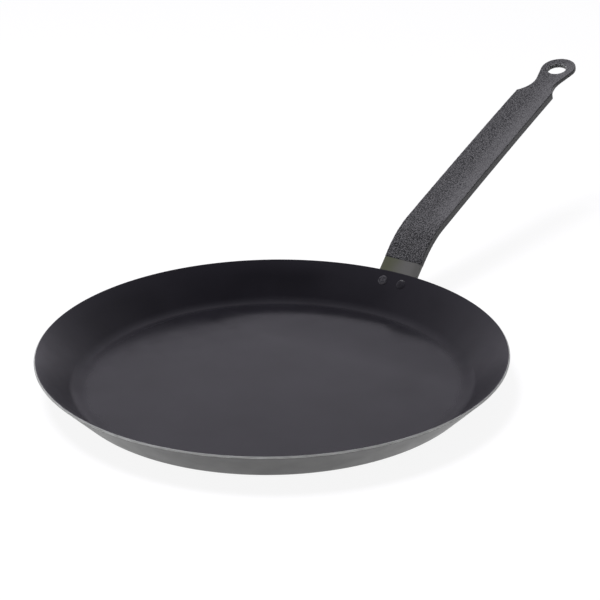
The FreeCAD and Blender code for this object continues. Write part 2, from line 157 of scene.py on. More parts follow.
def length(name, description, mm):
    return FloatProperty(name=name, description=description, default=mm * MM, unit="LENGTH", precision=5)


def angle(name, description, degrees):
    return FloatProperty(name=name, description=description, default=math.radians(degrees), unit="ROTATION")


def count(name, description, default):
    return IntProperty(name=name, description=description, default=default, min=1)


def location(name, description, metres):
    return FloatVectorProperty(
        name=name, description=description, default=metres, size=3, subtype="TRANSLATION", unit="LENGTH")


def colour(name, description, hex_colour):
    return FloatVectorProperty(
        name=name, description=description, default=linear(hex_colour), subtype="COLOR", size=4, min=0, max=1)


class CrepePanDish(bpy.types.PropertyGroup):
    rim_diameter: length("Rim diameter", "Outside, across the lower corner of the cut edge", 260.0)
    height: length("Height", "Table to the upper corner of the cut edge", 21.8)
    sheet: length("Sheet", "Thickness of the pressed steel", 1.5)
    wall_angle: angle("Wall angle", "Wall above the horizontal", 46.0)
    bend_radius: length("Bend radius", "Inside, where the floor turns up into the wall", 9.0)
    rim_round: length("Rim rounding", "Both corners of the cut edge", 0.3)
    steps: count("Steps", "Faces once round the dish", 288)


class CrepePanHandle(bpy.types.PropertyGroup):
    width: length("Width", "Strip across its flat", 25.0)
    thickness: length("Thickness", "Strip at the grip", 4.6)
    edge_round: length("Edge rounding", "Rolled long edges", 0.4)
    foot_length: length("Foot", "Below the rim, along the wall", 15.0)
    rise_length: length("Rise", "Straight on above the rim", 13.7)
    knee_radius: length("Knee radius", "Top face, where the rise turns over into the grip", 60.5)
    grip_angle: angle("Grip angle", "Slope of the grip where it leaves the knee", 20.1)
    arch_radius: length("Arch radius", "Top face of the grip", 4860.0)
    grip_length: length("Grip", "Knee to the middle of the eye, along the top face", 180.9)
    eye_thickness: length("Eye thickness", "Strip where it is pressed thinner", 2.5)
    press_length: length("Press taper", "From the strip's thickness to the eye's", 20.0)
    press_end: length("Press end", "End of the taper to the middle of the eye", 14.0)
    eye_diameter: length("Eye diameter", "Round end of the strip", 23.2)
    eye_offset: length("Eye offset", "Eye and neck beside the middle of the strip", 1.1)
    neck_width: length("Neck width", "Between the two scallops", 15.4)
    scallop_radius: length("Scallop radius", "Round hollow on each side of the neck", 19.2)
    flank_length: length("Flank", "Straight side between a scallop and the eye", 13.7)
    hole_diameter: length("Hole diameter", "Hanging hole", 2 * HANGING_HOLE["dims"]["r_mm"])
    hole_setback: length("Hole setback", "Hole's middle from the eye's, toward the dish", 1.8)
    coat: length("Coat", "Thickness of the coating on every face", 0.15)
    coat_start: length("Coat start", "Rim to the edge of the coating, along the strip", 9.1)
    bevel_width: length("Bevel width", "Right top edge of the strip's foot", 3.4)
    bevel_depth: length("Bevel depth", "Down the side of the foot", 1.3)
    bevel_start: length("Bevel start", "Rim down to where the bevel begins, along the strip", 5.0)
    bevel_end: length("Bevel end", "Rim up to where the bevel has run out, along the strip", 15.0)
    grain: length("Hammer grain", "Width of one dimple of the hammered coating", 1.05)
    grain_height: length("Hammer height", "How far the dimples rise and fall", 0.07)
    fine_mesh: length("Coating mesh", "Face size on the coating, small enough to hold a dimple", 0.41)
    plain_mesh: length("Strip mesh", "Face size on the bare strip", 1.6)


class CrepePanRivets(bpy.types.PropertyGroup):
    spacing: length("Spacing", "Between the two rivets", 13.0)
    drop: length("Drop", "Rim to the rivets, down the wall", 7.0)
    shank_diameter: length("Shank diameter", "Also the holes that the rivets fill", 4.0)
    head_diameter: length("Head diameter", "Low head inside the dish", 6.2)
    head_height: length("Head height", "Above the wall", 0.7)
    tail_diameter: length("Tail diameter", "Driven end under the strip", 7.0)
    tail_height: length("Tail height", "Below the strip", 2.0)
    steps: count("Steps", "Faces once round a rivet", 48)


class CrepePanFinish(bpy.types.PropertyGroup):
    blued: colour("Blued sheet", "Oxide film on the dish", "17161B")
    blued_worn: colour("Blued sheet, thin", "Where the film is thinner", "222126")
    # Lighter film at the rim: worn by hands and cloths, and also a painted reflection.
    blued_rim_wear_and_reflection: colour("Blued sheet, rim", "Where hands and cloths have thinned it", "242328")
    cut_edge: colour("Cut edge", "Bare sheared steel at the rim", "E5E9E1")
    cut_dark: colour("Cut edge, dull", "Stained streaks along it", "AEB1A9")
    bare: colour("Bare strip", "Rolled steel below the coating", "767771")
    heat_tint: colour("Heat tint", "Olive stain from baking the coating", "666A55")
    # The coat's crests are painted lighter, a painted highlight, and its pits darker, a painted shade.
    epoxy: colour("Epoxy, crests", "Coating on the raised dimples", "7A7B79")
    epoxy_pit_shade: colour("Epoxy, pits", "Coating between the dimples", "18191A")
    rivet: colour("Rivet", "Driven steel with a thin film", "606061")
    floor: colour("Studio floor", "Pale paper under the pan", "FFFFFF")
    light: colour("Light", "Cool tint of the lamp and the room", "F7F3FF")


class CrepePanStudio(bpy.types.PropertyGroup):
    eye: location("Camera place", "Where the camera stands", (-0.67744, -0.49454, 0.40086))
    target: location("Camera target", "Point in the middle of the picture", (0.023207, -0.002616, 0.041068))
    roll: angle("Camera roll", "Turn of the picture about its middle", -0.4998)
    lens: FloatProperty(name="Lens", description="Focal length on a 36 mm sensor, in mm", default=100.474)
    key_place: location("Key place", "Where the large soft lamp hangs", (-0.29, 0.20, 1.36))
    key_size: length("Key size", "Side of the large soft lamp", 450.0)
    key_power: FloatProperty(name="Key power", description="Large soft lamp", default=13.0, unit="POWER")
    room_turn: angle("Room turn", "Bright side of the room, left of straight ahead", 9.0)
    floor_size: length("Floor size", "Side of the floor", 40000.0)


def add(tree, kind, sockets=(), **settings):
    """Adds a node: sockets are its inputs, in order or by name, as values or links, and settings its own."""
    node = tree.nodes.new(kind)
    for name, value in settings.items():
        setattr(node, name, value)
    inputs = [socket for socket in node.inputs if socket.enabled]
    if isinstance(sockets, dict):
        inputs = [next(socket for socket in inputs if socket.name == name) for name in sockets]
        sockets = sockets.values()
    for socket, value in zip(inputs, sockets):
        if isinstance(value, bpy.types.Node):
            value = next(output for output in value.outputs if output.enabled)
        if isinstance(value, bpy.types.NodeSocket):
            tree.links.new(value, socket)
        else:
            socket.default_value = value
    return node


def new_shape_tree(name, inputs):
    """An empty geometry tree with named inputs, and what they give."""
    tree = bpy.data.node_groups.new(name, "GeometryNodeTree")
    tree.interface.new_socket("Geometry", in_out="INPUT", socket_type="NodeSocketGeometry")
    for label, kind in inputs.items():
        tree.interface.new_socket(label, in_out="INPUT", socket_type=kind)
    tree.interface.new_socket("Geometry", in_out="OUTPUT", socket_type="NodeSocketGeometry")
    return tree, add(tree, "NodeGroupInput").outputs


def turned_section_tree():
    """Turns a half section about the Z axis. The section's points carry a zone, which picks the material."""
    tree, given = new_shape_tree("turned section", {
        "Steps": "NodeSocketInt", **{label: "NodeSocketMaterial" for label in ZONES}})
    section, steps = given["Geometry"], given["Steps"]
    size = add(tree, "GeometryNodeAttributeDomainSize", (section,), component="MESH")
    points = size.outputs["Point Count"]
    columns = add(tree, "FunctionNodeIntegerMath", (steps, 1), operation="ADD")
    grid = add(tree, "GeometryNodeMeshGrid", {"Vertices X": columns, "Vertices Y": points})
    index = add(tree, "GeometryNodeInputIndex")
    row = add(tree, "FunctionNodeIntegerMath", (index, points), operation="MODULO")
    column = add(tree, "FunctionNodeIntegerMath", (index, points), operation="DIVIDE_FLOOR")
    position = add(tree, "GeometryNodeInputPosition")
    on_section = add(tree, "GeometryNodeSampleIndex", {
        "Geometry": section, "Value": position, "Index": row}, data_type="FLOAT_VECTOR", domain="POINT")
    part = add(tree, "ShaderNodeMath", (column, steps), operation="DIVIDE")
    turn = add(tree, "ShaderNodeMath", (part, 2 * math.pi), operation="MULTIPLY")
    turned = add(tree, "ShaderNodeVectorRotate", {
        "Vector": on_section, "Angle": turn}, rotation_type="Z_AXIS")
    placed = add(tree, "GeometryNodeSetPosition", {"Geometry": grid, "Position": turned})
    bands = add(tree, "FunctionNodeIntegerMath", (points, 1), operation="SUBTRACT")
    band = add(tree, "FunctionNodeIntegerMath", (index, bands), operation="MODULO")
    zone = add(tree, "GeometryNodeInputNamedAttribute", {"Name": "zone"}, data_type="INT")
    band_zone = add(tree, "GeometryNodeSampleIndex", {
        "Geometry": section, "Value": zone, "Index": band}, data_type="INT", domain="POINT")
    zoned = add(tree, "GeometryNodeStoreNamedAttribute", {
        "Geometry": placed, "Name": "zone", "Value": band_zone}, data_type="INT", domain="FACE")
    closed = add(tree, "GeometryNodeMergeByDistance", {"Geometry": zoned, "Distance": WELD})
    smooth = add(tree, "GeometryNodeSetShadeSmooth", {"Geometry": closed})
    last = add(tree, "GeometryNodeRealizeInstances", {"Geometry": smooth})
    for number, label in enumerate(ZONES):
        here = add(tree, "FunctionNodeCompare", {"A": zone, "B": number}, data_type="INT", operation="EQUAL")
        last = add(tree, "GeometryNodeSetMaterial", {
            "Geometry": last, "Selection": here, "Material": given[label]})
    add(tree, "NodeGroupOutput", {"Geometry": last})
    return tree


def rivet_row_tree(turned):
    """Turns one rivet and sets it at each place of a row across the wall."""
    tree, given = new_shape_tree("rivet row", {
        "Steps": "NodeSocketInt", "First": "NodeSocketVector", "Spacing": "NodeSocketFloat",
        "Tilt": "NodeSocketFloat", "Steel": "NodeSocketMaterial"})
    rivet = add(tree, "GeometryNodeGroup", {
        "Geometry": given["Geometry"], "Steps": given["Steps"], "Outside": given["Steel"]}, node_tree=turned)
    across = add(tree, "ShaderNodeCombineXYZ", {"Y": given["Spacing"]})
    row = add(tree, "GeometryNodeMeshLine", {
        "Count": RIVET_COUNT, "Start Location": given["First"], "Offset": across}, mode="OFFSET")
    lean = add(tree, "ShaderNodeCombineXYZ", {"Y": given["Tilt"]})
    both = add(tree, "GeometryNodeInstanceOnPoints", {"Points": row, "Instance": rivet, "Rotation": lean})
    real = add(tree, "GeometryNodeRealizeInstances", {"Geometry": both})
    steel = add(tree, "GeometryNodeSetMaterial", {"Geometry": real, "Material": given["Steel"]})
    add(tree, "NodeGroupOutput", {"Geometry": steel})
    return tree


def hammered_skin_tree():
    """Raises and sinks a skin in dimples, and keeps its flow, the painted highlights round its hole and its
    tone for the material; flow and tone hold painted sheen and shade.
    """
    tree, given = new_shape_tree("hammered skin", {
        "Grain": "NodeSocketFloat", "Height": "NodeSocketFloat", "Knee End": "NodeSocketFloat",
        "Hole": "NodeSocketVector", "Hole Radius": "NodeSocketFloat", "Coating": "NodeSocketMaterial"})
    position = add(tree, "GeometryNodeInputPosition")
    scale = add(tree, "ShaderNodeMath", (1.0, given["Grain"]), operation="DIVIDE")
    drift = add(tree, "ShaderNodeTexNoise", {"Vector": position, "Scale": scale, "Detail": 1.0})
    warp = add(tree, "ShaderNodeVectorMath", (
        drift.outputs["Color"], (DIMPLE_DRIFT,) * 3, position), operation="MULTIPLY_ADD")
    cells = add(tree, "ShaderNodeTexVoronoi", {"Vector": warp, "Scale": scale}, feature="F1")
    bead = add(tree, "ShaderNodeMapRange", (cells, CREST_END, PIT_START, 1.0, 0.0))
    axes = add(tree, "ShaderNodeSeparateXYZ", (position,)).outputs
    # Past the knee, the coat flowed out smoother along one side of the grip before it set, and that side is
    # painted paler: a painted sheen.
    aside = add(tree, "ShaderNodeMapRange", (
        axes["Y"], FLOW_ALL, FLOW_NONE, 1.0, 0.0), interpolation_type="SMOOTHSTEP")
    from_knee = add(tree, "ShaderNodeMath", (axes["X"], given["Knee End"]), operation="SUBTRACT")
    past = add(tree, "ShaderNodeMapRange", (
        from_knee, -FLOW_BUILD, FLOW_BUILD), interpolation_type="SMOOTHSTEP")
    flow_and_sheen = add(tree, "ShaderNodeMath", (aside, past), operation="MULTIPLY")
    filled = add(tree, "ShaderNodeMath", (flow_and_sheen, FLOW_FILL), operation="MULTIPLY")
    level = add(tree, "ShaderNodeMix", (filled, bead, FLOW_LEVEL), data_type="FLOAT")
    base_and_sheen = add(tree, "ShaderNodeMath", (flow_and_sheen, TONE_SHEEN, TONE_BASE), operation="MULTIPLY_ADD")
    evened = add(tree, "ShaderNodeMath", (level, TONE_CREST_HIGHLIGHT, base_and_sheen), operation="MULTIPLY_ADD")
    # The strip's side faces are painted darker the more they face sideways: a painted shade.
    normal = add(tree, "GeometryNodeInputNormal")
    facing = add(tree, "ShaderNodeSeparateXYZ", (normal,))
    sideways = add(tree, "ShaderNodeMath", (facing.outputs["Y"],), operation="ABSOLUTE")
    thin = add(tree, "ShaderNodeMapRange", (sideways, EDGE_START, EDGE_FULL, 1.0, TONE_SIDE_SHADE))
    thinned = add(tree, "ShaderNodeMath", (evened, thin), operation="MULTIPLY")
    # Round the hanging hole, specks in the bright colour of bare steel are painted highlights on the hole's
    # wall.
    from_hole = add(tree, "ShaderNodeVectorMath", (position, given["Hole"]), operation="DISTANCE")
    beyond = add(tree, "ShaderNodeMath", (
        from_hole.outputs["Value"], given["Hole Radius"]), operation="SUBTRACT")
    hole_glints = add(tree, "ShaderNodeMapRange", (beyond, HOLE_GLINT_FULL, HOLE_GLINT_END, 1.0, 0.0))
    skin = given["Geometry"]
    for label, value in (("flow_and_sheen", flow_and_sheen), ("rubbed", hole_glints), ("tone", thinned)):
        skin = add(tree, "GeometryNodeStoreNamedAttribute", {
            "Geometry": skin, "Name": label, "Value": value}, data_type="FLOAT", domain="POINT")
    # A crest rises by the whole height, and a pit sinks by it.
    lift = add(tree, "ShaderNodeMath", (level, 2.0, -1.0), operation="MULTIPLY_ADD")
    rise = add(tree, "ShaderNodeMath", (lift, given["Height"]), operation="MULTIPLY")
    offset = add(tree, "ShaderNodeVectorMath", {"Vector": normal, "Scale": rise}, operation="SCALE")
    raised = add(tree, "GeometryNodeSetPosition", {"Geometry": skin, "Offset": offset})
    smooth = add(tree, "GeometryNodeSetShadeSmooth", {"Geometry": raised})
    real = add(tree, "GeometryNodeRealizeInstances", {"Geometry": smooth})
    coated = add(tree, "GeometryNodeSetMaterial", {"Geometry": real, "Material": given["Coating"]})
    add(tree, "NodeGroupOutput", {"Geometry": coated})
    return tree


def face_outward(mesh):
    """Points every face of a closed mesh outward."""
    work = bmesh.new()
    work.from_mesh(mesh)
    bmesh.ops.recalc_face_normals(work, faces=work.faces)
    work.to_mesh(mesh)
    work.free()


def new_mesh(name, points, faces=(), edges=()):
    mesh = bpy.data.meshes.new(name)
    mesh.from_pydata([tuple(point) for point in points], list(edges), list(faces))
    mesh.update()
    return mesh


def section_mesh(name, section):
    """A half section as a line of points (radius, height, zone), for the turning tree."""
    points = [(radius, 0.0, height) for radius, height, zone in section]
    mesh = new_mesh(name, points, edges=[(i, i + 1) for i in range(len(points) - 1)])
    zones = mesh.attributes.new("zone", "INT", "POINT")
    zones.data.foreach_set("value", [zone for radius, height, zone in section])
    return mesh


def run_tree(piece, tree, inputs):
    """Shapes a piece with a tree and leaves the result as its plain mesh."""
    modifier = piece.modifiers.new(tree.name, "NODES")
    modifier.node_group = tree
    for item in tree.interface.items_tree:
        if item.in_out == "INPUT" and item.name in inputs:
            modifier[item.identifier] = inputs[item.name]
    graph = bpy.context.evaluated_depsgraph_get()
    shaped = piece.evaluated_get(graph)
    mesh = bpy.data.meshes.new_from_object(shaped, preserve_all_data_layers=True, depsgraph=graph)
    piece.modifiers.remove(modifier)
    piece.data = mesh
    mesh.name = piece.name
    if not mesh.polygons:
        raise RuntimeError(f"{tree.name} gave {piece.name} no faces")


def new_piece(name, data):
    piece = bpy.data.objects.new(name, data)
    bpy.context.scene.collection.objects.link(piece)
    return piece


def fasten(piece, slot, *nodes):
    """Makes a finished piece stand for its CAD nodes and move with the pan."""
    face_outward(piece.data)
    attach(piece, BODY)
    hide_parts(*nodes)


def clamp(value):
    return min(max(value, 0.0), 1.0)


def quarter_turn(steps):
    """Angles from none to a right angle, in equal steps."""
    return [i * math.pi / 2 / steps for i in range(steps + 1)]


def spread(start, end, size):
    """Places from start up to but not including end, about a size apart."""
    parts = max(1, math.ceil((end - start) / size - SLACK))
    return [start + (end - start) * i / parts for i in range(parts)]


def rim_corner(dish):
    """Radius and height of the lower corner of the cut edge, which is square to the wall."""
    return dish.rim_diameter / 2, dish.height - dish.sheet * math.cos(dish.wall_angle)


def dish_section(dish):
    """Half section of the dish, from the middle of its underside round the rim to the middle of its floor."""
    wall = dish.wall_angle
    out = Vector((math.cos(wall), math.sin(wall)))
    inward = Vector((-math.sin(wall), math.cos(wall)))
    rim_radius, rim_level = rim_corner(dish)
    low_corner = Vector((rim_radius, rim_level))
    high_corner = low_corner + inward * dish.sheet
    bend = dish.bend_radius + dish.sheet
    floor_edge = rim_radius - rim_level / math.tan(wall) - bend * math.tan(wall / 2)
    centre = Vector((floor_edge, bend))

    def bend_points(radius, turns):
        return [centre + Vector((math.sin(t), -math.cos(t))) * radius for t in turns]

    def corner_points(corner, along_in, along_out):
        """A right-angled corner rounded off, reached along one direction and left along the other."""
        middle = corner - along_in * dish.rim_round + along_out * dish.rim_round
        rays = [along_in * math.sin(t) - along_out * math.cos(t) for t in quarter_turn(CORNER_STEPS)]
        return [middle + ray * dish.rim_round for ray in rays]

    rising = [wall * i / BEND_STEPS for i in range(BEND_STEPS + 1)]
    floor_rings = [floor_edge * i / FLOOR_RINGS for i in range(FLOOR_RINGS)] + [floor_edge - HOLD]
    under = [Vector((r, 0.0)) for r in floor_rings] + bend_points(bend, rising)
    wall_start, wall_end = under[-1], low_corner - out * dish.rim_round
    wall_length = (wall_end - wall_start).length
    wall_rings = [wall_length * i / WALL_RINGS for i in range(1, WALL_RINGS)]
    under += [wall_start + out * step for step in (HOLD, *wall_rings, wall_length - HOLD)]
    edge = corner_points(low_corner, out, inward) + corner_points(high_corner, inward, -out)
    inside = [edge[-1] - out * HOLD]
    wall_foot = bend_points(dish.bend_radius, [wall])[0]
    run = (edge[-1] - wall_foot).length
    inside += [edge[-1] - out * run * i / WALL_RINGS for i in range(1, WALL_RINGS)] + [wall_foot + out * HOLD]
    inside += bend_points(dish.bend_radius, rising[::-1])
    inside += [Vector((r, dish.sheet)) for r in floor_rings[::-1]]
    # The sheared face starts one step into the lower corner's rounding and ends where the upper one starts.
    zones = [OUTSIDE] + [EDGE] * CORNER_STEPS + [INSIDE] * (CORNER_STEPS + 1)
    rows = [*((point, OUTSIDE) for point in under), *zip(edge, zones), *((point, INSIDE) for point in inside)]
    return [(point.x, point.y, zone) for point, zone in rows]


def seat_depth(dish, handle):
    """How deep the flat strip is hollowed to lie on the round wall over its whole width."""
    foot_radius = dish.rim_diameter / 2 - handle.foot_length * math.cos(dish.wall_angle)
    return SEAT_ALLOWANCE * handle.width ** 2 * math.sin(dish.wall_angle) / (8 * foot_radius)


class StripForm:
    """The strip's form with a skin outside it, on a grid that runs along it and then round its eye."""

    def __init__(self, dish, handle, start, skin, hole_radius, mesh_size):
        self.dish, self.handle = dish, handle
        self.skin, self.mesh_size, self.start = skin, mesh_size, start
        self.round = handle.edge_round + skin
        self.hole_radius = hole_radius
        self.knee_end = handle.rise_length + handle.knee_radius * (dish.wall_angle - handle.grip_angle)
        self.eye = self.knee_end + handle.grip_length
        self.points, self.plans, self.faces = [], [], []
        self.lay_out_end()

    def lay_out_end(self):
        """Plan of the neck and eye: two scallops, straight flanks and a round end, touching smoothly."""
        handle = self.handle
        self.eye_radius = handle.eye_diameter / 2 + self.skin
        self.scallop = handle.scallop_radius - self.skin
        self.aside = handle.neck_width / 2 + handle.scallop_radius
        reach = math.hypot(self.eye_radius + self.scallop, handle.flank_length)
        self.back = math.sqrt(reach ** 2 - self.aside ** 2)
        self.touch = math.pi - math.atan2(self.aside, self.back)
        self.touch -= math.acos((self.eye_radius + self.scallop) / reach)
        self.neck = self.eye - self.back - math.cos(self.touch) * self.scallop

    def place(self, along, across, above):
        """A point by length along the top face from the rim, width across and height above it."""
        dish, handle = self.dish, self.handle
        seat = seat_depth(dish, handle)
        turn = dish.wall_angle
        x, z = rim_corner(dish)
        straight = min(along, handle.rise_length)
        x += straight * math.cos(turn) - seat * math.sin(turn)
        z += straight * math.sin(turn) + seat * math.cos(turn)
        runs = (
            (min(along, self.knee_end) - handle.rise_length, handle.knee_radius),
            (along - self.knee_end, handle.arch_radius),
        )
        for run, radius in runs:
            after = turn - max(run, 0.0) / radius
            x += radius * (math.sin(turn) - math.sin(after))
            z += radius * (math.cos(after) - math.cos(turn))
            turn = after
        return Vector((x - above * math.sin(turn), across, z + above * math.cos(turn)))

    def faces_at(self, along, across):
        """Heights of the top and the underside above the strip's top line."""
        dish, handle = self.dish, self.handle
        pressed = clamp((along - self.eye + handle.press_end) / handle.press_length + 1)
        press = pressed * (handle.thickness - handle.eye_thickness) / 2
        radius = dish.rim_diameter / 2 + along * math.cos(dish.wall_angle)
        hollow = seat_depth(dish, handle) - across ** 2 * math.sin(dish.wall_angle) / (2 * radius)
        hollow -= max(along - handle.rise_length, 0.0) ** 2 / (2 * handle.knee_radius)
        begun = (handle.bevel_start + along) / handle.bevel_start
        to_go = (handle.bevel_end - along) / (handle.bevel_end - handle.coat_start)
        bevel = clamp((-across - handle.width / 2) / handle.bevel_width + 1) * clamp(min(begun, to_go))
        top = self.skin - press - max(hollow, 0.0) - handle.bevel_depth * bevel
        return top, press - handle.thickness - self.skin

    def side_at(self, along, side):
        """Outline point on one side: along, across, and the direction out of it in plan."""
        handle = self.handle
        straight = side * (handle.width / 2 + self.skin)
        back = along - self.eye + self.back
        if abs(back) < self.scallop:
            across = side * (self.aside - math.sqrt(self.scallop ** 2 - back ** 2)) - handle.eye_offset
            if side * across < side * straight:
                toward_middle = side * self.aside - handle.eye_offset - across
                return along, across, -back / self.scallop, toward_middle / self.scallop
        return along, straight, 0.0, side

    def scallop_start(self, side):
        """Where a scallop cuts into the side of the strip."""
        half = self.handle.width / 2 + self.skin + side * self.handle.eye_offset
        return self.eye - self.back - math.sqrt(self.scallop ** 2 - (self.aside - half) ** 2)

    def end_outline(self):
        """Outline from the left end of the neck round the eye to the right end, without those two ends."""
        outline = []
        out = Vector((math.cos(self.touch), math.sin(self.touch)))
        run = Vector((out.y, -out.x))
        meets = out * self.eye_radius
        for step in spread(-self.handle.flank_length, 0.0, self.mesh_size)[1:]:
            point = meets + run * step
            outline.append((point.x, point.y, out.x, out.y))
        left = outline[:]
        for turn in spread(-self.touch, self.touch, self.mesh_size / self.eye_radius):
            ray = Vector((math.cos(-turn), math.sin(-turn)))
            outline.append((*(ray * self.eye_radius), *ray))
        outline.append((meets.x, -meets.y, out.x, -out.y))
        outline += [(a, -b, c, -d) for a, b, c, d in left[::-1]]
        return [(a + self.eye, b - self.handle.eye_offset, c, d) for a, b, c, d in outline]

    def vertex(self, along, across, above):
        self.points.append(self.place(along, across, above))
        self.plans.append((along, across))
        return len(self.points) - 1

    def corner_rows(self, outline_point, radius, steps):
        """Vertices down over a rounded edge, from the top face round to the underside."""
        along, across, out_along, out_across = outline_point
        top, low = self.faces_at(along, across)
        turns = quarter_turn(CORNER_STEPS)
        rows = [(radius * (math.sin(t) - 1), top - radius * (1 - math.cos(t))) for t in turns]
        high_end, low_end = top - radius, low + radius
        rows += [(0.0, high_end + (low_end - high_end) * i / steps) for i in range(1, steps)]
        rows += [(radius * (math.cos(t) - 1), low + radius * (1 - math.sin(t))) for t in turns]
        return [self.vertex(along + out_along * r, across + out_across * r, h) for r, h in rows]

    def across_row(self, right, left, upper):
        """Vertices between two outline points, inset by the rounding, on the top or the underside."""
        first, last = [Vector(p[:2]) - Vector(p[2:]) * self.round for p in (right, left)]
        row = []
        for i in range(1, self.columns):
            plan = first.lerp(last, i / self.columns)
            top, low = self.faces_at(*plan)
            row.append(self.vertex(*plan, top if upper else low))
        return row

    def strip_between(self, first, second, closed=False):
        """Faces between two rows of vertices of the same length."""
        number = len(first)
        for i in range(number if closed else number - 1):
            j = (i + 1) % number
            self.faces.append((first[i], first[j], second[j], second[i]))

    def build(self, name):
        """The whole mesh: rings along the strip from its start to the neck, then the eye."""
        handle = self.handle
        self.columns = math.ceil((handle.width - 2 * self.round) / self.mesh_size)
        steps = max(2, math.ceil((handle.thickness - 2 * self.round) / self.mesh_size))
        stops = [self.start, *sorted((self.scallop_start(1), self.scallop_start(-1))), self.neck]
        rows = [a for first, last in zip(stops, stops[1:]) for a in spread(first, last, self.mesh_size)]
        previous = None
        for along in rows + [self.neck]:
            right, left = self.side_at(along, -1), self.side_at(along, 1)
            right_edge = self.corner_rows(right, self.round, steps)
            left_edge = self.corner_rows(left, self.round, steps)
            top = [right_edge[0], *self.across_row(right, left, True), left_edge[0]]
            low = [right_edge[-1], *self.across_row(right, left, False), left_edge[-1]]
            ring = top + left_edge[1:-1] + low[::-1] + right_edge[-2:0:-1]
            if previous:
                self.strip_between(previous, ring, closed=True)
            else:
                self.strip_between(top, low)
                self.faces += [tuple(right_edge), tuple(left_edge)]
            previous = ring
        end = [self.corner_rows(point, self.round, steps) for point in self.end_outline()]
        edges = [left_edge, *end, right_edge]
        for first, second in zip(edges, edges[1:]):
            self.strip_between(first, second)
        top_loop = top[:-1] + [edge[0] for edge in edges[:-1]]
        low_loop = low[:-1] + [edge[-1] for edge in edges[:-1]]
        self.eye_rings(top_loop, low_loop, steps)
        mesh = new_mesh(name, self.points, self.faces)
        mesh.shade_smooth()
        return mesh

    def eye_rings(self, top_loop, low_loop, steps):
        """Rings of faces from the outline of the eye in to the hanging hole, and the wall of the hole."""
        middle = Vector((self.eye - self.handle.hole_setback, -self.handle.eye_offset))
        outline = [Vector(self.plans[i]) for i in top_loop]
        rays = [(point - middle).normalized() for point in outline]
        lip = self.round * HOLE_LIP
        hole = [self.corner_rows((*(middle + ray * self.hole_radius), *-ray), lip, steps) for ray in rays]
        rings = max(3, round((self.eye_radius - self.hole_radius) / self.mesh_size))
        for loop, end in ((top_loop, 0), (low_loop, -1)):
            outer = loop
            for ring in range(1, rings):
                inner = []
                for point, ray in zip(outline, rays):
                    plan = point.lerp(middle + ray * (self.hole_radius + lip), ring / rings)
                    inner.append(self.vertex(*plan, self.faces_at(*plan)[end]))
                self.strip_between(outer, inner, closed=True)
                outer = inner
            self.strip_between(outer, [edge[end] for edge in hole], closed=True)
        for first, second in zip(hole, hole[1:] + hole[:1]):
            self.strip_between(first, second)


def rivet_section(dish, handle, rivets):
    """Half section of a driven rivet: domed tail under the strip, shank, and low head inside the wall."""
    rivet_radius = dish.rim_diameter / 2 - rivets.drop * math.cos(dish.wall_angle)
    recess = rivets.spacing ** 2 * math.sin(dish.wall_angle) / (8 * rivet_radius)
    tail_seat = seat_depth(dish, handle) - handle.thickness
    head_edge = recess + dish.sheet
    shank, head, tail = rivets.shank_diameter / 2, rivets.head_diameter / 2, rivets.tail_diameter / 2
    dome = quarter_turn(DOME_STEPS)
    section = [(tail * math.sin(t), tail_seat - rivets.tail_height * math.cos(t)) for t in dome]
    section += [(shank, tail_seat), (shank, head_edge - dish.sheet / 2), (head, head_edge - dish.sheet / 2)]
    section += [(head, head_edge - HOLD), (head, head_edge)]
    section += [(head * math.cos(t), head_edge + rivets.head_height * math.sin(t)) for t in dome[1:]]
    section[0] = (0.0, section[0][1])
    section[-1] = (0.0, section[-1][1])
    return [(radius, height, OUTSIDE) for radius, height in section]


def new_material(name):
    """A material with an empty tree, and the place on the piece that its patterns read."""
    material = bpy.data.materials.new(name)
    material.use_nodes = True
    material.node_tree.nodes.clear()
    return material, material.node_tree, add(material.node_tree, "ShaderNodeTexCoord").outputs["Object"]


